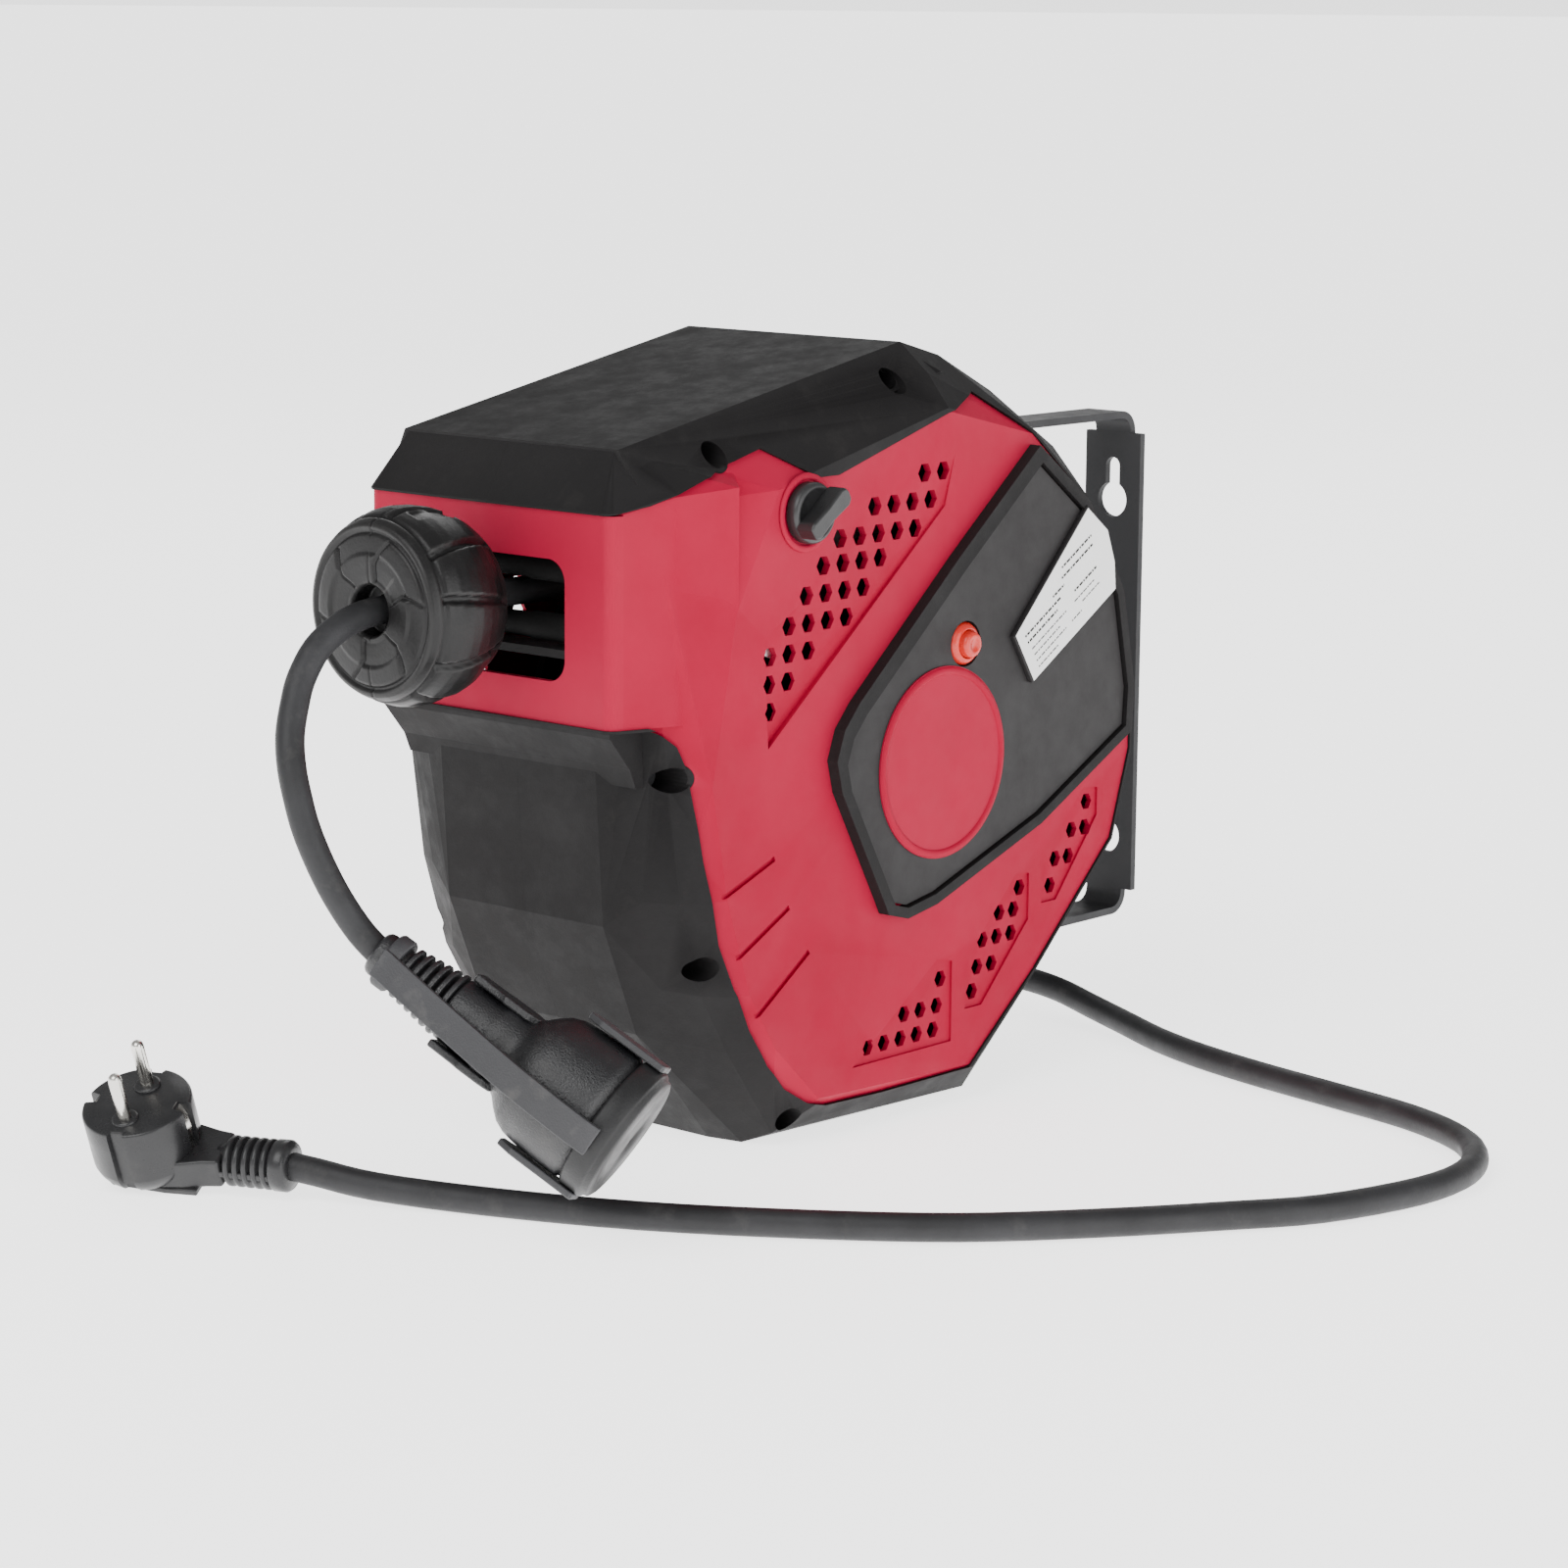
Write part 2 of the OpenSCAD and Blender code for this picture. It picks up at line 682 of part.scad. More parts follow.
// Route of the supply cable, from the gland along the surface to the plug
supply_route = [
    [-42, -103, -101], [-42, -92, -111], [-39, -79, -118], [-31, -66, -122],
    [-18, -57, -124], [-2, -53, -125], [16, -53, -127], [36, -57, -130], [58, -64, -132],
    [84, -75, -133], [112, -85, -133], [146, -93, -133], [186, -100, -133],
    [222, -107, -133], [249, -118, -133], [268, -134, -133], [280, -158, -133],
    [281, -190, -133], [269, -231, -133], [249, -262, -133], [223, -298, -133],
    [192, -334, -133], [152, -366, -133], [104, -397, -133], [54, -420, -133],
    [16, -437, -131.5], [-3, -447, -128], [-12, -451, -126.7]
];

function unit(v) = v / norm(v);
function spline(p, i, t) =
    let (a = p[max(i - 1, 0)], b = p[i], c = p[i + 1], d = p[min(i + 2, len(p) - 1)])
    0.5 * (2 * b + (c - a) * t + (2 * a - 5 * b + 4 * c - d) * t * t
        + (3 * b - a - 3 * c + d) * t * t * t);
function smooth(p, n) = concat(
    [for (i = [0 : len(p) - 2], k = [0 : n - 1]) spline(p, i, k / n)], [p[len(p) - 1]]);
function heading(q, i) = unit(q[min(i + 1, len(q) - 1)] - q[max(i - 1, 0)]);

// A round tube swept along the points q; its rings are turned square to the direction up
module tube(q, r, sides, up) {
    n = len(q);
    rings = [for (i = [0 : n - 1])
        let (h = heading(q, i), u = unit(cross(h, up)), v = cross(u, h))
        for (k = [0 : sides - 1]) q[i] + r * (cos(360 * k / sides) * u + sin(360 * k / sides) * v)];
    walls = [for (i = [0 : n - 2], k = [0 : sides - 1])
        [i * sides + k, i * sides + (k + 1) % sides,
         (i + 1) * sides + (k + 1) % sides, (i + 1) * sides + k]];
    caps = [[for (k = [sides - 1 : -1 : 0]) k], [for (k = [0 : sides - 1]) (n - 1) * sides + k]];
    polyhedron(points = rings, faces = concat(walls, caps));
}

module output_lead() color(grey) tube(smooth(output_route, 2), cable_r, 8, [1, 0, 0]);
module supply_lead() color(grey) tube(smooth(supply_route, 2), cable_r, 8, [0, 0, 1]);

// Strain relief where the supply cable leaves the housing
module cable_gland() color(black) gland_place() {
    translate([0, 0, -6]) cylinder(r = 8.8, h = 8);
    translate([0, 0, 1.2]) cylinder(r = 12, h = 5);
    translate([0, 0, 6]) cylinder(r1 = 9.5, r2 = 6.4, h = 24);
}

// ---------------------------------------------------------------- socket

socket_at = [40.5, -456.5, -42];
socket_tilt = 122.7;
socket_turn = 24;
wing_turn = -18;

module socket_place() translate(socket_at) rotate([0, socket_tilt, socket_turn]) children();

// Closed profile of the socket's moulded body, as [radius, distance along its axis]
socket_profile = [
    [0, 0], [8.2, 0], [8.2, 8.6], [7.2, 8.6], [7.2, 29.6], [11.5, 29.6], [12, 42], [14.4, 50],
    [14.4, 57.5], [21.6, 63], [23.5, 70], [24, 95], [24, 101.5], [20.2, 101.5], [20.2, 84], [0, 84]
];

module socket_body() color(black) socket_place() difference() {
    union() {
        rotate_extrude() polygon(socket_profile);
        for (k = [0 : 5]) translate([0, 0, 10.5 + 3.5 * k]) cylinder(r = 9.5 + 0.4 * k, h = 1.9);
    }
    for (s = [-1, 1]) rotate([0, 0, wing_turn]) translate([0, 9.5 * s, 63]) cylinder(r = 2.8, h = 30);
}

module socket_contacts() color("silver") socket_place() rotate([0, 0, wing_turn])
    for (s = [-1, 1]) {
        translate([0, 9.5 * s, 65]) difference() {
            cylinder(r = 2.75, h = 17);
            translate([0, 0, 3]) cylinder(r = 2.4, h = 15);
        }
        translate([s * 19.4 - 0.6, -2.5, 84]) cube([1.2, 5, 12]);
    }

cap_travel = 12;

// Closure cap over the socket's face, with a flat pull wing on each side
module socket_cap() color(black) socket_place() {
    difference() {
        translate([0, 0, 92]) cylinder(r = 26, h = 13.4);
        translate([0, 0, 86]) cylinder(r = 24.3, h = 16.5);
    }
    rotate([0, 0, wing_turn]) for (s = [-1, 1])
        translate([s * 26.5 - 1.4, -7.5, 71]) cube([2.8, 15, 33.5]);
}

strap_turn = -97;

// Rubber strap from the neck ring to the cap
module cap_strap() color(grey) socket_place() {
    difference() {
        translate([0, 0, 3]) cylinder(r = 10.2, h = 5);
        translate([0, 0, 2]) cylinder(r = 8.22, h = 8);
    }
    rotate([0, 0, strap_turn]) translate([0, 5.3, 0]) rotate([90, 0, 0]) linear_extrude(10.6)
        polygon([
            [9.3, 3.6], [10.8, 3.6], [25.4, 57], [28.3, 88], [28.3, 100],
            [26.4, 100], [26.4, 88.5], [23.6, 57.5], [9.3, 7.4]
        ]);
}

// ---------------------------------------------------------------- plug

plug_at = [-63, -470.6, -130.8];
plug_tilt = 24.5;
plug_turn = 23;
pin_gap = 19;
plug_h = 27;

module plug_place() translate(plug_at) rotate([plug_tilt, 0, plug_turn]) children();

module plug_body() color(black) plug_place() difference() {
    union() {
        cylinder(r1 = 16, r2 = 19.5, h = 8);
        translate([0, 0, 8]) cylinder(r = 19.5, h = plug_h - 8);
        translate([0, -10, -3]) cube([22, 20, 15]);
        translate([22, 0, 4.5]) rotate([0, 90, 0]) cylinder(r = 9, h = 8);
        translate([30, 0, 4.5]) rotate([0, 90, 0]) cylinder(r = 6.8, h = 24.5);
        for (k = [0 : 4]) translate([32 + 3.5 * k, 0, 4.5]) rotate([0, 90, 0]) cylinder(r = 8.8, h = 1.9);
        translate([49, 0, 4.5]) rotate([0, 90, 0]) cylinder(r = 8.5, h = 5.8);
    }
    for (s = [-1, 1]) {
        translate([s * 20 - 4, -3, 8]) cube([8, 6, 30]);
        translate([-2.6, s * 20 - 1.8, 2]) cube([5.2, 3.6, 30]);
        translate([0, s * pin_gap / 2, plug_h - 9]) cylinder(r = pin_d / 2, h = 12);
    }
}

module plug_pins() color("silver") plug_place()
    for (s = [-1, 1]) translate([0, s * pin_gap / 2, plug_h - 9]) {
        cylinder(r = pin_d / 2, h = 26);
        translate([0, 0, 26]) sphere(r = pin_d / 2);
    }

module plug_earth_clips() color("silver") plug_place()
    for (s = [-1, 1]) translate([s * 16.7 - 0.6, -2.8, 10]) cube([1.2, 5.6, 15]);

// ---------------------------------------------------------------- choice of node

wall_bracket();
swivel_rod();
swivel_nut();
swivel_washers();
right_shell();
left_shell();
front_panel();
top_cover_right();
top_cover_left();
lower_cover_right();
lower_cover_left();
hinge_barrel();
right_panel();
right_trim();
left_panel();
left_trim();
badge_right();
badge_left();
rating_label();
housing_screws();
outlet_frame();
upper_roller();
lower_roller();
roller_pins();
drum_axle();
axle_bosses();
drum_core();
drum_bushes();
drum_flange_right();
drum_flange_left();
wound_cable();
ratchet_ring();
slip_ring_carrier();
slip_rings();
brush_holder();
carbon_brushes();
spring_case();
spring_cover();
power_spring();
thermal_cutout();
reset_button();
lock_knob();
catch_pawl();
pawl_pin();
stopper_right();
stopper_left();
stopper_screws();
inner_lead();
output_lead();
socket_body();
socket_contacts();
socket_cap();
cap_strap();
cable_gland();
supply_lead();
plug_body();
plug_pins();
plug_earth_clips();
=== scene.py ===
import json
import math

import bmesh
import bpy
from mathutils import Matrix, Vector

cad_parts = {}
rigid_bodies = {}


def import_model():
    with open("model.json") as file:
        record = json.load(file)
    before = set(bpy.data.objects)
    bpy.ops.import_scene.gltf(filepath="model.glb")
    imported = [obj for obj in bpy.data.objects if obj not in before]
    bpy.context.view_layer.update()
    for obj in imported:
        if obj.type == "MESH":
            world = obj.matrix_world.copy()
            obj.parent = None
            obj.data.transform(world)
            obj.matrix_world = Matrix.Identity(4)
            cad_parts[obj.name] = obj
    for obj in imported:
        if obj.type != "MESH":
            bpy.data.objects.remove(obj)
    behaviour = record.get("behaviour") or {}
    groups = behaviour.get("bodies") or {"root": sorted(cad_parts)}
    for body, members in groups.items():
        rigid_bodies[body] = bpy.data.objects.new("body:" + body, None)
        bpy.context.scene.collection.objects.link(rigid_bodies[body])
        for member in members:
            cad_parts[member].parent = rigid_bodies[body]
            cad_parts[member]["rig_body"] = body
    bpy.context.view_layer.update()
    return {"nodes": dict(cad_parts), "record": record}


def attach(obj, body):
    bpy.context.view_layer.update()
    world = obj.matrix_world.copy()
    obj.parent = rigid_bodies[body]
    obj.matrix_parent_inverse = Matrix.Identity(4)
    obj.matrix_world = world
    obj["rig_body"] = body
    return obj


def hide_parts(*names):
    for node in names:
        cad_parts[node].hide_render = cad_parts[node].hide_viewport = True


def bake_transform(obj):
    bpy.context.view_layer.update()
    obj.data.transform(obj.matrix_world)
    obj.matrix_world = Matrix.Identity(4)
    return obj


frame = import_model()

nodes = frame["nodes"]
scene = bpy.context.scene
MM = 0.001


# ------------------------------------------------------------------ camera, light, floor

CAMERA_AT = (1058, -1405, 271)  # millimetres
AZIMUTH, ELEVATION, ROLL = 41.46, 10.40, 0.44  # degrees
LENS = 97.2
FLOOR_LEVEL = -0.1385  # metres, just under the lying cable
FLOOR_REACH = 400.0  # metres
GLOW = 2.2  # of the floor, and of the sky where it meets the floor
SKY_TOP_GLOW = 0.42
SKY_FADE_ENDS = 0.25  # height of the view direction at which the sky is down to its top glow


def make_camera():
    azimuth, elevation, roll = (math.radians(a) for a in (AZIMUTH, ELEVATION, ROLL))
    back = Vector((math.sin(azimuth) * math.cos(elevation),
                   -math.cos(azimuth) * math.cos(elevation), math.sin(elevation)))
    right = Vector((math.cos(azimuth), math.sin(azimuth), 0))
    up = back.cross(right)
    right_rolled = right * math.cos(roll) + up * math.sin(roll)
    up_rolled = up * math.cos(roll) - right * math.sin(roll)
    data = bpy.data.cameras.new("camera")
    data.lens = LENS
    data.sensor_width = 36
    data.clip_start, data.clip_end = 0.05, 900
    camera = bpy.data.objects.new("camera", data)
    scene.collection.objects.link(camera)
    place = Matrix((right_rolled, up_rolled, back)).transposed().to_4x4()
    place.translation = Vector(CAMERA_AT) * MM
    camera.matrix_world = place
    scene.camera = camera


def area_light(name, at, towards, size, power):
    data = bpy.data.lights.new(name, "AREA")
    data.shape = "RECTANGLE"
    data.size, data.size_y = size
    data.energy = power
    light = bpy.data.objects.new(name, data)
    scene.collection.objects.link(light)
    light.location = at
    light.rotation_mode = "QUATERNION"
    light.rotation_quaternion = (Vector(towards) - Vector(at)).to_track_quat("-Z", "Y")


def make_stage():
    world = bpy.data.worlds.new("studio")
    world.use_nodes = True
    sky = world.node_tree
    way = sky.nodes.new("ShaderNodeTexCoord")
    split = sky.nodes.new("ShaderNodeSeparateXYZ")
    fade = node_of(sky, "ShaderNodeMapRange", From_Min=0.0, From_Max=SKY_FADE_ENDS,
                   To_Min=GLOW, To_Max=SKY_TOP_GLOW)
    sky.links.new(way.outputs["Generated"], split.inputs["Vector"])
    sky.links.new(split.outputs["Z"], fade.inputs["Value"])
    sky.nodes["Background"].inputs["Color"].default_value = (1.0, 1.0, 1.0, 1)
    sky.links.new(fade.outputs["Result"], sky.nodes["Background"].inputs["Strength"])
    scene.world = world
    middle = (0.0, -0.25, 0.0)
    area_light("key", (0.3, -2.1, 1.7), middle, (1.7, 1.7), 40)
    area_light("side", (2.2, -0.5, 0.7), middle, (1.5, 1.5), 22)
    area_light("rim", (-1.2, 1.5, 1.6), middle, (1.2, 1.2), 10)
    s, z = FLOOR_REACH, FLOOR_LEVEL
    mesh = mesh_of("floor", [(-s, -s, z), (s, -s, z), (s, s, z), (-s, s, z)], [(0, 1, 2, 3)])
    floor = bpy.data.objects.new("floor", mesh)
    scene.collection.objects.link(floor)
    material = bpy.data.materials.new("floor")
    material.use_nodes = True
    shader = material.node_tree.nodes["Principled BSDF"]
    shader.inputs["Base Color"].default_value = (0.95, 0.95, 0.95, 1)
    shader.inputs["Roughness"].default_value = 0.85
    shader.inputs["Specular IOR Level"].default_value = 0.05
    shader.inputs["Emission Color"].default_value = (1.0, 1.0, 1.0, 1)
    shader.inputs["Emission Strength"].default_value = GLOW
    mesh.materials.append(material)


# ------------------------------------------------------------------ materials

STREAK_SCALE = 70.0
ROUGH_SPREAD = 0.10
DUST_COLOUR = (0.5, 0.47, 0.43)
GRAIN_DEPTH = 0.0004  # metres


def node_of(tree, kind, **inputs):
    node = tree.nodes.new(kind)
    for name, value in inputs.items():
        node.inputs[name.replace("_", " ")].default_value = value
    return node


def noise_of(tree, at, scale, detail, rough):
    noise = node_of(tree, "ShaderNodeTexNoise", Scale=scale, Detail=detail, Roughness=rough)
    tree.links.new(at, noise.inputs["Vector"])
    return noise.outputs["Fac"]


def ramp_of(tree, value, start, end, first, last):
    """A colour that follows a value: first up to start, last from end on."""
    ramp = tree.nodes.new("ShaderNodeValToRGB")
    lower, upper = ramp.color_ramp.elements
    lower.position, upper.position = start, end
    lower.color, upper.color = (*first, 1), (*last, 1)
    tree.links.new(value, ramp.inputs["Fac"])
    return ramp.outputs["Color"]


def mix_of(tree, factor, colour, other):
    """A colour with a plain other one laid over it by the factor."""
    mix = tree.nodes.new("ShaderNodeMix")
    mix.data_type = "RGBA"
    mix.inputs["B"].default_value = (*other, 1)
    tree.links.new(factor, mix.inputs["Factor"])
    tree.links.new(colour, mix.inputs["A"])
    return mix.outputs["Result"]


def plastic(name, dark, light, rough, grain=900.0, bump=0.12, wear=0.0, metallic=0.0,
            spec=0.5, dust=0.0, patch=18.0, edge=None):
    """A moulded or coated surface: mottled colour, varied roughness, fine grain and worn edges."""
    material = bpy.data.materials.new(name)
    material.use_nodes = True
    tree = material.node_tree
    shader = tree.nodes["Principled BSDF"]
    shader.inputs["Metallic"].default_value = metallic
    shader.inputs["Specular IOR Level"].default_value = spec
    at = tree.nodes.new("ShaderNodeTexCoord").outputs["Object"]
    mottle = noise_of(tree, at, patch, 6.0, 0.62)
    fine = noise_of(tree, at, grain, 3.0, 0.55)
    streaks = noise_of(tree, at, STREAK_SCALE, 4.0, 0.7)

    colour = ramp_of(tree, mottle, 0.34, 0.68, dark, light)
    if dust > 0:
        cover = ramp_of(tree, streaks, 0.56, 0.86, (0, 0, 0), (dust, dust, dust))
        colour = mix_of(tree, cover, colour, DUST_COLOUR)
    if wear > 0:
        sharp = tree.nodes.new("ShaderNodeNewGeometry").outputs["Pointiness"]
        rub = ramp_of(tree, sharp, 0.515, 0.60, (0, 0, 0), (wear, wear, wear))
        tone = edge or tuple(min(1.0, c * 1.8 + 0.02) for c in light)
        colour = mix_of(tree, rub, colour, tone)
    tree.links.new(colour, shader.inputs["Base Color"])

    rough_range = node_of(tree, "ShaderNodeMapRange", From_Min=0.3, From_Max=0.7,
                          To_Min=max(0.02, rough - ROUGH_SPREAD),
                          To_Max=min(1.0, rough + ROUGH_SPREAD))
    tree.links.new(streaks, rough_range.inputs["Value"])
    tree.links.new(rough_range.outputs["Result"], shader.inputs["Roughness"])

    lift = node_of(tree, "ShaderNodeBump", Strength=bump, Distance=GRAIN_DEPTH)
    tree.links.new(fine, lift.inputs["Height"])
    tree.links.new(lift.outputs["Normal"], shader.inputs["Normal"])
    return material


def make_materials():
    m = {}
    m["red_plastic"] = plastic("red_shell", (0.30, 0.0015, 0.023), (0.345, 0.0022, 0.029), 0.58,
                               grain=1500, bump=0.10, wear=0.22, edge=(0.46, 0.03, 0.07), spec=0.10)
    m["black_cover"] = plastic("black_cover", (0.0055, 0.0050, 0.0053),
                               (0.0095, 0.0088, 0.0090), 0.62, grain=1300, bump=0.16,
                               wear=0.22, dust=0.02, spec=0.12)
    m["dark_panel"] = plastic("dark_panel", (0.017, 0.0155, 0.0160), (0.022, 0.0205, 0.0210), 0.54,
                              grain=1800, bump=0.06, spec=0.20)
    m["black_steel"] = plastic("painted_steel", (0.0030, 0.0030, 0.0033),
                               (0.0055, 0.0055, 0.006), 0.50, grain=700, bump=0.10,
                               wear=0.3, edge=(0.10, 0.10, 0.105), spec=0.16)
    m["zinc"] = plastic("zinc_plate", (0.48, 0.48, 0.49), (0.62, 0.62, 0.63), 0.32,
                        metallic=1.0, grain=500, bump=0.06)
    m["nickel"] = plastic("nickel_plate", (0.66, 0.64, 0.60), (0.80, 0.78, 0.73), 0.20,
                          metallic=1.0, grain=600, bump=0.05)
    m["white_label"] = plastic("label_film", (0.78, 0.78, 0.77), (0.84, 0.84, 0.83), 0.35,
                               grain=2500, bump=0.04)
    m["roller_nylon"] = plastic("roller_nylon", (0.004, 0.004, 0.004), (0.008, 0.008, 0.008),
                                0.75, spec=0.10)
    m["drum_plastic"] = plastic("drum_plastic", (0.012, 0.012, 0.013), (0.020, 0.020, 0.021),
                                0.60, spec=0.2)
    m["bronze"] = plastic("bronze", (0.40, 0.26, 0.12), (0.52, 0.36, 0.18), 0.38, metallic=1.0)
    m["cable_rubber"] = plastic("cable_rubber", (0.015, 0.015, 0.016), (0.026, 0.026, 0.028), 0.52,
                                grain=1100, bump=0.22, dust=0.06, patch=30, spec=0.32)
    m["insulator"] = plastic("insulator", (0.66, 0.61, 0.48), (0.74, 0.69, 0.55), 0.45)
    m["brass_ring"] = plastic("brass", (0.66, 0.46, 0.18), (0.76, 0.56, 0.26), 0.28, metallic=1.0)
    m["carbon"] = plastic("carbon", (0.03, 0.03, 0.03), (0.05, 0.05, 0.05), 0.55)
    m["spring_steel"] = plastic("spring_steel", (0.22, 0.24, 0.28), (0.34, 0.36, 0.40),
                                0.34, metallic=1.0)
    m["gloss_black"] = plastic("gloss_black", (0.012, 0.012, 0.013), (0.020, 0.020, 0.021), 0.30,
                               grain=900, bump=0.14, wear=0.22, dust=0.03, spec=0.40)
    m["worn_black"] = plastic("worn_black", (0.0050, 0.0048, 0.0050),
                              (0.0095, 0.0090, 0.0092), 0.38, grain=800, bump=0.20,
                              wear=0.35, dust=0.02, spec=0.28, edge=(0.07, 0.068, 0.066))
    m["grainy_black"] = plastic("grainy_black", (0.0055, 0.0055, 0.0065),
                                (0.011, 0.011, 0.0125), 0.34, grain=1400, bump=0.75,
                                wear=0.3, dust=0.05, spec=0.6)
    m["soft_black"] = plastic("soft_black", (0.007, 0.007, 0.0075), (0.013, 0.013, 0.0135), 0.46,
                              grain=1200, bump=0.3, wear=0.2, spec=0.34)
    m["strap_grey"] = plastic("strap_grey", (0.020, 0.020, 0.022), (0.030, 0.030, 0.033), 0.52,
                              grain=1300, bump=0.35, wear=0.3, dust=0.1)
    m["wing_grey"] = plastic("wing_grey", (0.026, 0.026, 0.028), (0.040, 0.040, 0.043), 0.52,
                             grain=1000, bump=0.4, wear=0.3)
    m["knob_black"] = plastic("knob_black", (0.007, 0.007, 0.0075), (0.013, 0.013, 0.0135), 0.36,
                              grain=1300, bump=0.12, wear=0.5)
    m["button_red"] = plastic("button_red", (0.52, 0.016, 0.010), (0.60, 0.024, 0.014), 0.30,
                              grain=1400, bump=0.05, wear=0.2)
    return m


# ------------------------------------------------------------------ mesh helpers

SIDES = ((1, "right"), (-1, "left"))
PAIR = ((-1, "b"), (1, "a"))
BEVEL_STEPS = 3
BEVEL_ANGLE = 30


def shift(x, y, z):
    return Matrix.Translation(Vector((x, y, z)) * MM)


def spin(angle, axis):
    return Matrix.Rotation(math.radians(angle), 4, axis)


def mesh_of(name, verts, faces):
    mesh = bpy.data.meshes.new(name)
    mesh.from_pydata(verts, [], faces)
    return mesh


def ring_faces(rings, around):
    """Quads between neighbouring rings of around points each."""
    return [(i * around + k, i * around + (k + 1) % around,
             (i + 1) * around + (k + 1) % around, (i + 1) * around + k)
            for i in range(rings - 1) for k in range(around)]


def end_faces(rings, around):
    """The two lids that close the first and the last ring."""
    last = (rings - 1) * around
    return [tuple(reversed(range(around))), tuple(last + k for k in range(around))]


def soften(piece, width):
    """Rounds a piece's sharp edges and shades the rest smoothly."""
    for p in piece.data.polygons:
        p.use_smooth = True
    mod = piece.modifiers.new("bevel", "BEVEL")
    mod.width = width
    mod.segments = BEVEL_STEPS
    mod.limit_method = "ANGLE"
    mod.angle_limit = math.radians(BEVEL_ANGLE)
    mod.harden_normals = True
    mod.use_clamp_overlap = True


def link(name, mesh, body, slot, look=None, smooth=True, bevel=0.0):
    """Puts a mesh in the scene as a piece of a body; look is its material if not the slot's."""
    piece = bpy.data.objects.new(name, mesh)
    scene.collection.objects.link(piece)
    mesh.materials.append(mats[look or slot])
    for p in mesh.polygons:
        p.use_smooth = smooth
    if bevel > 0:
        soften(piece, bevel)
    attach(piece, body)
    return piece


# ------------------------------------------------------------------ cables

OUTPUT_ROUTE = [
    (0, -410, 66.5), (0, -425, 65.5), (0, -437, 62), (0, -447, 56), (1, -455, 47),
    (3, -460, 39), (6, -465, 29), (10, -468, 19), (14, -469, 9), (18, -469, -1),
    (23, -467, -13), (28.5, -464, -24.5), (34.5, -460, -35), (40.5, -456.5, -42)]
SUPPLY_ROUTE = [
    (-42, -103, -101), (-42, -92, -111), (-39, -79, -118), (-31, -66, -122),
    (-18, -57, -124), (-2, -53, -125), (16, -53, -127), (36, -57, -130), (58, -64, -132),
    (84, -75, -133), (112, -85, -133), (146, -93, -133), (186, -100, -133),
    (222, -107, -133), (249, -118, -133), (268, -134, -133), (280, -158, -133),
    (281, -190, -133), (269, -231, -133), (249, -262, -133), (223, -298, -133),
    (192, -334, -133), (152, -366, -133), (104, -397, -133), (54, -420, -133),
    (16, -437, -131.5), (-3, -447, -128), (-12, -451, -126.7)]


CABLE_RADIUS = 0.005  # metres


def catmull(points, n):
    """A smooth line through points in millimetres, n steps to a stretch, given in metres."""
    p = [Vector(q) for q in points]
    out = []
    for i in range(len(p) - 1):
        a, b, c, d = p[max(i - 1, 0)], p[i], p[i + 1], p[min(i + 2, len(p) - 1)]
        for k in range(n):
            t = k / n
            out.append(0.5 * (2 * b + (c - a) * t + (2 * a - 5 * b + 4 * c - d) * t * t
                              + (3 * b - a - 3 * c + d) * t ** 3))
    out.append(p[-1])
    return [q * MM for q in out]


def cable(name, route, body, node):
    line = catmull(route, 4)
    data = bpy.data.curves.new(name, "CURVE")
    data.dimensions = "3D"
    data.bevel_depth = CABLE_RADIUS
    data.bevel_resolution = 6
    data.use_fill_caps = True
    spline = data.splines.new("POLY")
    spline.points.add(len(line) - 1)
    for q, at in zip(spline.points, line):
        q.co = (*at, 1)
    spline.use_smooth = True
    piece = bpy.data.objects.new(name, data)
    scene.collection.objects.link(piece)
    data.materials.append(mats["cable_rubber"])
    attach(piece, body)
    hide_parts(node)


# ------------------------------------------------------------------ stopper ball

# BALL_PROFILE holds (radius, y). It is scaled by BALL_SCALE about y = DRAWN_AT, and that level
# is then moved to BALL.
BALL = Vector((0, -408.5, 66.5))
BALL_SCALE = 0.953
DRAWN_AT = -403
BALL_PROFILE = [
    (5.3, -409.5), (9.2, -410), (9.2, -416.6), (10.4, -418.0), (13, -418.4), (17, -418.6),
    (21, -418.5), (25, -418.0), (27.2, -417.6), (28.0, -416.2), (29.0, -416.2), (29.8, -417.2),
    (31.6, -416.6), (33.0, -414.2), (33.6, -412.2), (35.0, -409.5), (36.2, -405.5), (36.7, -401),
    (36.5, -396), (35.7, -391), (34.2, -386), (32.0, -381.2), (29.6, -377.4), (27.8, -375.6),
    (25.5, -373.6), (22.5, -371.8), (18, -371), (13.8, -371), (13.6, -370.4), (13.6, -361.6),
    (12.6, -360.8), (5.4, -360.8)]


def smooth_step(a, b, x):
    t = min(1.0, max(0.0, (x - a) / (b - a)))
    return t * t * (3 - 2 * t)


def angle_gap(a, b):
    return abs((a - b + 180) % 360 - 180)


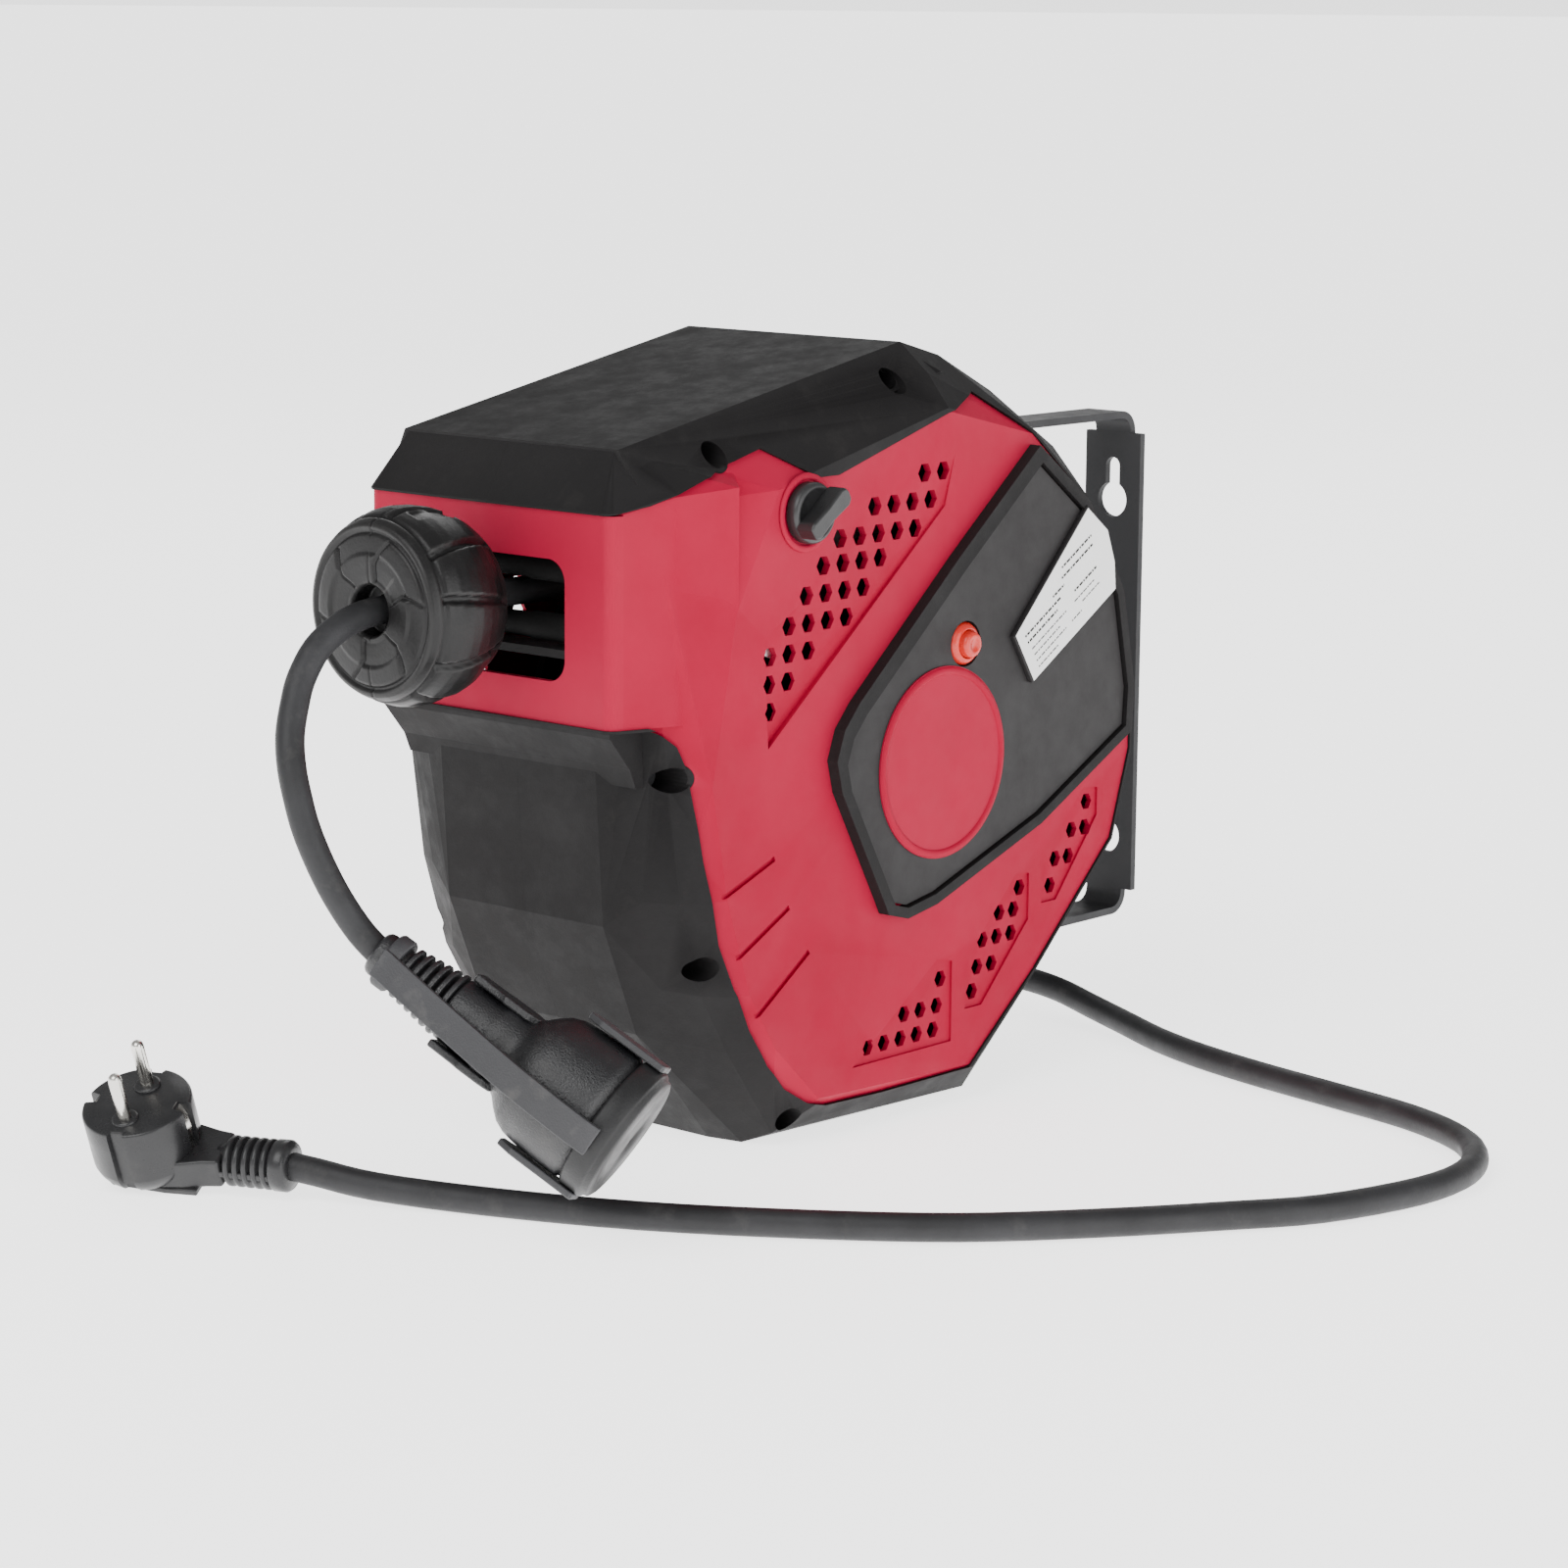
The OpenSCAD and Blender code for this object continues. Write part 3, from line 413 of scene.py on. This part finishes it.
def ball_relief(r, y, turn):
    """How far the surface sinks at this radius, depth and turn: grooves, lugs and facets."""
    sink = 0.0
    if r > 10.8 and y < -417.0 and r < 27.6:
        t = (r - 10) / 17
        bend = 16 * t if t < 0.45 else 7.2 - 22 * (t - 0.45)
        for k in range(6):
            gap = angle_gap(turn, 60 * k + 14 + bend) * r * math.pi / 180
            sink = max(sink, 1.3 * (1 - smooth_step(0.3, 1.1, gap)))
        sector = int(((turn - 14 - bend) % 360) // 60)
        if sector % 2 == 0 and r < 20.5:
            sink = max(sink, 0.9)
        if sector % 2 == 1 and r > 20.5:
            sink = max(sink, 0.6)
    if -412.8 < y < -376.5 and r > 29:
        t = (y + 412.5) / 36
        for k in range(10):
            lean = 9 if k % 2 else -7
            edge = 36 * k + 8 + lean * (t - 0.5)
            gap = angle_gap(turn, edge) * 36 * math.pi / 180
            sink = max(sink, 2.0 * (1 - smooth_step(0.9, 2.0, gap)))
        sector = int(((turn - 8) % 360) // 36)
        inside = (turn - 8) % 36
        if sector % 3 == 1 and 24 < inside < 33 and 0.18 < t < 0.8:
            sink = max(sink, 1.1)
        if sector % 2 == 0 and t > 0.74:
            sink = max(sink, 1.0)
        rim = smooth_step(0.0, 0.03, t) * (1 - smooth_step(0.93, 1.0, t))
        sink = max(sink, 1.4 * (1 - rim))
    seam = min(angle_gap(turn, 90), angle_gap(turn, 270)) * r * math.pi / 180
    return max(sink, 0.5 * (1 - smooth_step(0.15, 0.5, seam)))


def refine(profile, step):
    out = []
    for (r0, y0), (r1, y1) in zip(profile, profile[1:]):
        n = max(1, int(math.hypot(r1 - r0, y1 - y0) / step))
        out += [(r0 + (r1 - r0) * k / n, y0 + (y1 - y0) * k / n) for k in range(n)]
    return out + [profile[-1]]


def stopper():
    line = refine(BALL_PROFILE, 0.8)
    around = 300
    verts = []
    for i, (r, y) in enumerate(line):
        r0, y0 = line[max(i - 1, 0)]
        r1, y1 = line[min(i + 1, len(line) - 1)]
        along = Vector((r1 - r0, y1 - y0)).normalized()
        out_r, out_y = along.y, -along.x
        for k in range(around):
            turn = 360 * k / around
            d = ball_relief(r, y, turn)
            rr = BALL_SCALE * (r - out_r * d)
            yy = BALL.y + BALL_SCALE * (y - out_y * d - DRAWN_AT)
            a = math.radians(turn)
            verts.append(Vector((rr * math.cos(a), yy, BALL.z + rr * math.sin(a))) * MM)
    faces = [(a, d, c, b) for a, b, c, d in ring_faces(len(line), around)]
    mesh = mesh_of("stopper_ball", verts, faces)
    piece = link("stopper_ball", mesh, "pull", "gloss_black", "worn_black")
    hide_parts("stopper_right", "stopper_left")


# ------------------------------------------------------------------ swept and turned shapes

def lathe(name, profile, place, body, slot, around=64, look=None, caps=True):
    """A turned piece: profile is (radius, distance along the axis); place puts it in the frame."""
    verts = []
    for r, z in profile:
        for k in range(around):
            a = 2 * math.pi * k / around
            verts.append(place @ (Vector((r * math.cos(a), r * math.sin(a), z)) * MM))
    faces = ring_faces(len(profile), around)
    if caps:
        faces += end_faces(len(profile), around)
    return link(name, mesh_of(name, verts, faces), body, slot, look)


def slab(name, outline, height, place, body, slot, bevel=0.4, look=None, base=0.0):
    """A flat piece: outline is a list of (x, y), raised from base by height along local z."""
    n = len(outline)
    verts = [place @ (Vector((x, y, base)) * MM) for x, y in outline]
    verts += [place @ (Vector((x, y, base + height)) * MM) for x, y in outline]
    faces = end_faces(2, n) + ring_faces(2, n)
    return link(name, mesh_of(name, verts, faces), body, slot, look, bevel=bevel * MM)


def band(name, line, across, width, thick, place, body, slot, look=None):
    """A flat strap: line is its middle, across its width's direction, both in place's frame."""
    p = [Vector(q) for q in line]
    side = Vector(across).normalized()
    verts = []
    for i, q in enumerate(p):
        ahead = (p[min(i + 1, len(p) - 1)] - p[max(i - 1, 0)]).normalized()
        out = ahead.cross(side).normalized()
        for s, t in ((-1, -1), (1, -1), (1, 1), (-1, 1)):
            verts.append(place @ ((q + side * s * width / 2 + out * t * thick / 2) * MM))
    mesh = mesh_of(name, verts, ring_faces(len(p), 4) + end_faces(len(p), 4))
    bm = bmesh.new()
    bm.from_mesh(mesh)
    bmesh.ops.recalc_face_normals(bm, faces=bm.faces)
    bm.to_mesh(mesh)
    bm.free()
    return link(name, mesh, body, slot, look, bevel=0.5 * MM)


def turned(at, tilt_x, tilt_y, tilt_z):
    return shift(*at) @ spin(tilt_z, "Z") @ spin(tilt_y, "Y") @ spin(tilt_x, "X")


# ------------------------------------------------------------------ socket

SOCKET = turned((40.5, -456.5, -42), 0, 122.7, 24) @ Matrix.Scale(0.957, 4)
WING_TURN = -18
STRAP_TURN = -97


def wing_place(s):
    """The frame of the socket's wing on one side: y along the socket, z outwards."""
    return SOCKET @ spin(WING_TURN, "Z") @ spin(90 * s, "Z") @ spin(90, "X")


def socket():
    fins = [(7.2, 9.0)]
    for k in range(6):
        z, r = 11 + 3.6 * k, 10.0 + 0.45 * k
        fins += [(7.2, z - 0.2), (r - 0.4, z), (r, z + 0.4), (r, z + 1.5),
                 (r - 0.4, z + 1.9), (7.4, z + 2.1)]
    profile = [
        (5.1, -1.5), (7.4, -1.5), (8.2, -0.6), (8.5, 0.8), (8.4, 7.6), (7.8, 8.8)] + fins + [
        (7.6, 31.4), (11.2, 31.6), (12.0, 32.6), (12.4, 40), (12.8, 45), (14.0, 48.5), (15.0, 51),
        (15.2, 54.5), (14.7, 57), (14.9, 59.5), (16.6, 62), (19.6, 65), (22.4, 68.5), (24.0, 72.5),
        (24.8, 78), (25.2, 86), (25.3, 93), (25.2, 96), (24.2, 97), (24.2, 105.6), (23.4, 106.0),
        (20.9, 106.0), (20.7, 88.2), (3.5, 88.0)]
    body = lathe("socket_barrel", profile, SOCKET, "pull", "gloss_black", 72, "grainy_black")
    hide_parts("socket_body")
    outline = [(-6, 33), (6, 33), (7.5, 44), (9.5, 47), (9.5, 57), (6.5, 61), (-6.5, 61),
               (-9.5, 57), (-9.5, 47), (-7.5, 44)]
    for s, mark in PAIR:
        shoulder = slab("socket_shoulder_" + mark, outline, 3.0, wing_place(s), "pull",
                        "gloss_black", 0.8, "grainy_black", base=12.4)


def socket_lid():
    ring = [(24.6, 98.4), (25.5, 98.6), (26.0, 99.6), (26.0, 106.6), (25.6, 107.2), (24.6, 107.8),
            (24.2, 109.2), (23.0, 109.8), (0.4, 109.8), (0.4, 107.4), (24.2, 107.0), (24.6, 106.2)]
    lid = lathe("socket_lid", ring, SOCKET, "cap", "cable_rubber", 72, "soft_black", caps=False)
    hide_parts("socket_cap")
    outline = [(-3, 73), (3, 73), (7.4, 79), (7.4, 105), (6.6, 106), (-6.6, 106), (-7.4, 105),
               (-7.4, 79)]
    for s, mark in PAIR:
        slab("lid_wing_" + mark, outline, 2.6, wing_place(s), "cap", "cable_rubber", 0.7,
             "wing_grey", base=25.7)


def lid_strap():
    place = SOCKET @ spin(STRAP_TURN, "Z")
    line = [(9.6, 0, 2.6), (10.2, 0, 6), (11.6, 0, 10), (14.2, 0, 18), (17.6, 0, 30),
            (20.8, 0, 42), (24.2, 0, 55), (26.8, 0, 68), (28.3, 0, 80), (29.0, 0, 91),
            (29.1, 0, 98), (28.6, 0, 103.4)]
    strap = band("lid_strap", line, (0, 1, 0), 11, 2.0, place, "pull", "cable_rubber",
                 "strap_grey")
    strap.parent = None
    del strap["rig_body"]
    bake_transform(strap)
    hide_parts("cap_strap")
    ring = [(8.5, 3), (9.9, 2.8), (10.5, 3.6), (10.5, 7.8), (9.9, 8.6), (8.5, 8.4)]
    lathe("strap_ring", ring, SOCKET, "pull", "cable_rubber", 48, "strap_grey")


# ------------------------------------------------------------------ plug

PLUG = turned((-63, -470.6, -130.8), 24.5, 0, 23)
PIN_SPACING = 19
CREASE_ANGLE = 38


def plug_radius(turn, z):
    """The plug shell's radius: narrower below, with clip recesses and grooves in its side."""
    a = math.radians(turn)
    c, s = math.cos(a), math.sin(a)
    r = 19.5 if z > 7 else 15.8 + 3.7 * math.sin(max(z, 0) / 7 * math.pi / 2)
    if z > 6.5 and abs(s) * r < 3.0:
        r = min(r, 15.7 / max(abs(c), 0.2))
    if abs(c) * r < 2.6:
        r = min(r, (17.5 if z > 2 else 15.2) / max(abs(s), 0.2))
    return r


def plug_shell():
    levels = [(0, 0.94), (0.6, 1), (2, 1), (4, 1), (6.4, 1), (6.6, 1), (9, 1), (18, 1), (25.8, 1),
              (26.6, 0.985), (27, 0.955)]
    around = 240
    verts = []
    for z, k in levels:
        for i in range(around):
            turn = 360 * i / around
            r = plug_radius(turn, z) * k
            a = math.radians(turn)
            verts.append(PLUG @ (Vector((r * math.cos(a), r * math.sin(a), z)) * MM))
    faces = ring_faces(len(levels), around) + end_faces(len(levels), around)
    mesh = mesh_of("plug_shell", verts, faces)
    body = link("plug_shell", mesh, "housing", "gloss_black")
    mod = body.modifiers.new("crease", "EDGE_SPLIT")
    mod.split_angle = math.radians(CREASE_ANGLE)
    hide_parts("plug_body")


def plug_neck():
    """Where the cable enters: neck, foot, strain relief with fins and a flat rib through it."""
    neck = [(8, -12.5), (17, -11.5), (25, -9.4), (31, -8.6), (31, 8.6), (25, 9.4), (17, 11.5),
            (8, 12.5)]
    slab("plug_neck", neck, 11.5, PLUG, "housing", "gloss_black", 1.4, base=-1.2)
    foot = [(-14, -9), (-11, -11), (10, -12.6), (22, -12.2), (22, 12.2), (10, 12.6), (-11, 11),
            (-14, 9)]
    slab("plug_foot", foot, 2.6, PLUG, "housing", "gloss_black", 0.8, base=-3.2)
    axis = PLUG @ shift(0, 0, 4.5) @ spin(90, "Y")
    fins = [(6.0, 28), (6.4, 30.6)]
    for k in range(5):
        x = 32 + 3.5 * k
        fins += [(6.4, x - 0.3), (8.5, x), (9.0, x + 0.6), (9.0, x + 1.6), (8.5, x + 2.1),
                 (6.4, x + 2.4)]
    fins += [(6.4, 48.8), (8.6, 49.0), (9.2, 49.8), (9.2, 54.0), (8.4, 55.1), (5.2, 55.5)]
    lathe("plug_relief", fins, axis, "housing", "gloss_black", 48)
    slab("plug_rail", [(29, -8.4), (50, -8.4), (50, 8.4), (29, 8.4)], 2.4, PLUG, "housing",
         "gloss_black", 0.5, base=3.3)


def plug_contacts():
    pin = [(2.4, 18), (2.4, 27), (2.4, 43.6), (2.3, 44.6), (2.0, 45.4), (1.4, 46.0),
           (0.7, 46.35), (0.05, 46.4)]
    collar = [(2.45, 26.4), (4.6, 26.6), (4.9, 27.0), (4.7, 27.7), (3.9, 28.0), (2.5, 28.0)]
    for s, mark in PAIR:
        at = PLUG @ shift(0, PIN_SPACING / 2 * s, 0)
        lathe("plug_pin_" + mark, pin, at, "housing", "nickel", 40)
        lathe("pin_collar_" + mark, collar, at, "housing", "gloss_black", 40)
    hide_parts("plug_pins")
    for s, mark in PAIR:
        line = [(16.3 * s, 0, 8.5), (17.2 * s, 0, 12), (17.9 * s, 0, 17), (17.4 * s, 0, 22),
                (16.0 * s, 0, 25.4), (14.4 * s, 0, 26.9)]
        band("earth_clip_" + mark, line, (0, 1, 0), 4.8, 0.7, PLUG, "housing",
                          "nickel")
    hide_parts("plug_earth_clips")


# ------------------------------------------------------------------ knob, button and rollers

def knob():
    place = shift(75, -282, 95) @ spin(90, "Z") @ spin(90, "X") @ spin(36, "Z")
    disc = [(10.6, 0.4), (11.0, 0.8), (11.0, 4.2), (10.4, 5.2), (9.2, 5.8), (8.6, 5.2), (4, 5.0),
            (0.1, 5.0)]
    base = lathe("knob_disc", disc, place, "knob", "black_cover", 64, "knob_black")
    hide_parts("lock_knob")
    grip = [(-11.2, -2.4), (-9, -3.4), (0, -2.7), (9.6, -3.6), (11.8, -2.2), (12.2, 0.8),
            (11.4, 3.2), (9, 3.8), (0, 3.2), (-9, 3.6), (-11.2, 2.4)]
    slab("knob_grip", grip, 8.0, place, "knob", "black_cover", 0.9, "knob_black", base=4.6)
    collar = [(11.6, 0.05), (13.6, 0.05), (14.3, 0.3), (14.0, 1.0), (12.6, 1.3), (11.7, 0.9)]
    lathe("knob_collar", collar + [collar[0]], place, "housing", "red_plastic", 72, caps=False)


def reset():
    place = shift(75, -195, 39) @ spin(90, "Y")
    cap = [(5.0, -4), (5.0, 6.2), (4.7, 7.1), (4.0, 7.7), (2.6, 8.0), (2.4, 7.7), (0.1, 7.6)]
    button = lathe("reset_cap", cap, place, "button", "button_red", 48)
    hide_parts("reset_button")
    flange = [(5.5, 0.6), (7.6, 0.8), (8.1, 1.6), (8.0, 2.6), (7.3, 3.9), (6.2, 4.8), (5.5, 5.0)]
    lathe("reset_flange", flange + [flange[0]], place, "housing", "button_red", 48, caps=False)


def roller(name, z, body):
    place = shift(0, -354, z) @ spin(90, "Y")
    line = [(2.1, -38.2), (4.4, -38.2), (5.0, -37.6), (5.0, -12), (4.5, -9), (4.3, 0), (4.5, 9),
            (5.0, 12), (5.0, 37.6), (4.4, 38.2), (2.1, 38.2)]
    piece = lathe(name + "_sleeve", line, place, body, "roller_nylon", 40, caps=False)
    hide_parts(name)


# ------------------------------------------------------------------ covers, badge and label

def flat_frame(origin, along, normal):
    """A frame with local x along one direction and local z along the face's normal."""
    z = Vector(normal).normalized()
    x = (Vector(along) - z * Vector(along).dot(z)).normalized()
    m = Matrix((x, z.cross(x), z)).transposed().to_4x4()
    m.translation = Vector(origin) * MM
    return m


def holed_plate(name, outline, hole, radius, height, place, body, slot):
    """A flat plate with one round hole: the outline is star-shaped about the hole's middle."""
    corners = [math.atan2(y - hole[1], x - hole[0]) for x, y in outline]
    angles = sorted(set([round(2 * math.pi * k / 48 - math.pi, 5) for k in range(48)]
                        + [round(a, 5) for a in corners]))
    loop = outline + [outline[0]]
    rim = []
    for a in angles:
        d = (math.cos(a), math.sin(a))
        best = None
        for (x0, y0), (x1, y1) in zip(loop, loop[1:]):
            ex, ey = x1 - x0, y1 - y0
            det = d[0] * -ey + d[1] * ex
            if abs(det) < 1e-9:
                continue
            rx, ry = x0 - hole[0], y0 - hole[1]
            t = (rx * -ey + ry * ex) / det
            u = (d[0] * ry - d[1] * rx) / det
            if t > 0 and -1e-4 <= u <= 1 + 1e-4 and (best is None or t < best):
                best = t
        rim.append((hole[0] + d[0] * best, hole[1] + d[1] * best))
    ring = [(hole[0] + radius * math.cos(a), hole[1] + radius * math.sin(a)) for a in angles]
    n = len(angles)
    verts = []
    foot = -2.0  # sunk into the cover
    for z, pts in ((foot, rim), (height, rim), (height, ring), (foot, ring)):
        verts += [place @ (Vector((x, y, z)) * MM) for x, y in pts]
    faces = []
    for j in range(4):
        here, there = j * n, (j + 1) % 4 * n
        faces += [(here + k, here + (k + 1) % n, there + (k + 1) % n, there + k)
                  for k in range(n)]
    return link(name, mesh_of(name, verts, faces), body, slot, bevel=0.7 * MM)


def cover_facets():
    """Raised facet along each shoulder of the top covers, with the rear screw's hole in it."""
    for s, side in SIDES:
        a, b = Vector((52 * s, -281, 134.2)), Vector((52 * s, -207, 148.6))
        c, d = Vector((61.5 * s, -192, 137.5)), Vector((63.5 * s, -271, 121.5))
        normal = (b - a).cross(d - a) * (-s)
        place = flat_frame(a, b - a, normal)
        back = place.inverted()
        outline = [tuple((back @ (q * MM) / MM)[:2]) for q in (a, b, c, d)]
        if s < 0:
            outline.reverse()
        screw = back @ (Vector((58 * s, -221, 137)) * MM) / MM
        holed_plate("cover_facet_" + side, outline, (screw.x, screw.y), 5.0, 1.3, place,
                    "housing", "black_cover")


def badge_rims():
    for s, side in SIDES:
        place = shift(79.2 * s, -208, -4) @ spin(90 * s, "Y")
        rim = [(32.6, -0.4), (32.9, 0.35), (33.8, 0.75), (35.0, 0.6), (35.8, 0.0), (35.9, -0.8)]
        lathe("badge_rim_" + side, rim, place, "housing", "red_plastic", 120, caps=False)


LABEL = [(-125, 85), (-169, 39), (-157, 20), (-106, 51), (-107, 62), (-112, 75)]
PLATE_HEIGHT = 2.1
FILM_HEIGHT = 0.18
MARKS_AT = 2.31  # just clear of the film's face


def label():
    """A dark raised plate with a white film and rows of plain grey marks."""
    place = flat_frame((78.55, -157, 20), (0, 51, 31), (1, 0, 0))
    back = place.inverted()
    outline = [tuple((back @ (Vector((80, y, z)) * MM) / MM)[:2]) for y, z in LABEL]
    outline.reverse()
    slab("label_plate", outline, PLATE_HEIGHT, place, "housing", "dark_panel", 0.5)
    corners = len(outline)
    mid = (sum(x for x, y in outline) / corners, sum(y for x, y in outline) / corners)
    inner = [(mid[0] + (x - mid[0]) * 0.975, mid[1] + (y - mid[1]) * 0.965) for x, y in outline]
    film = slab("label_film", inner, FILM_HEIGHT, place, "housing", "white_label", 0.05,
                base=PLATE_HEIGHT)
    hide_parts("rating_label")
    rows = [(3.2, 6, 20), (6.0, 6, 27), (6.0, 31, 38), (8.8, 6, 24), (8.8, 40, 52), (11.6, 6, 30),
            (11.6, 36, 50), (15.0, 5, 26), (15.0, 38, 54), (18.0, 5, 30), (21.0, 26, 34),
            (24.0, 34, 56), (27.5, 36, 57)]
    verts, faces = [], []
    for y, x0, x1 in rows:
        x, k = x0, 0
        while x < x1:
            w = 0.9 + 0.7 * ((k * 7 + int(y)) % 3)
            high = 0.9 if y > 14 else 0.55
            n = len(verts)
            for px, py in ((x, y), (min(x + w, x1), y), (min(x + w, x1), y + high), (x, y + high)):
                verts.append(place @ (Vector((px, py, MARKS_AT)) * MM))
            faces.append((n, n + 1, n + 2, n + 3))
            x += w + 0.5
            k += 1
    link("label_marks", mesh_of("label_marks", verts, faces), "housing", "dark_panel",
         smooth=False)


# ------------------------------------------------------------------ making

make_camera()
make_stage()
mats = make_materials()

SLOTS = {s["node"]: s["material_slot"] for s in frame["record"]["subparts"]}
SOFT_EDGES = {
    "right_shell": 1.6, "left_shell": 1.6, "front_panel": 1.4, "top_cover_right": 1.6,
    "top_cover_left": 1.6, "lower_cover_right": 1.6, "lower_cover_left": 1.6,
    "hinge_barrel": 1.0, "right_trim": 1.5, "left_trim": 1.5, "right_panel": 0.6,
    "left_panel": 0.6, "badge_right": 1.0, "badge_left": 1.0, "wall_bracket": 0.7,
    "lock_knob": 0.8, "reset_button": 0.8, "thermal_cutout": 0.5, "socket_body": 0.8,
    "socket_cap": 1.2, "cap_strap": 0.6, "plug_body": 0.9, "stopper_right": 1.0,
    "stopper_left": 1.0, "swivel_rod": 0.5, "swivel_nut": 0.5, "housing_screws": 0.3,
    "cable_gland": 0.8, "plug_pins": 0.3, "plug_earth_clips": 0.2}
for name, piece in nodes.items():
    piece.data.materials.clear()
    piece.data.materials.append(mats[SLOTS[name]])
    if name in SOFT_EDGES:
        soften(piece, SOFT_EDGES[name] * MM)

cover_facets()
badge_rims()
label()
stopper()
socket()
socket_lid()
lid_strap()
plug_shell()
plug_neck()
plug_contacts()
knob()
reset()
roller("upper_roller", 77.1, "roller_top")
roller("lower_roller", 55.9, "roller_bottom")
cable("supply_cable", SUPPLY_ROUTE, "housing", "supply_lead")
cable("output_cable", OUTPUT_ROUTE, "pull", "output_lead")
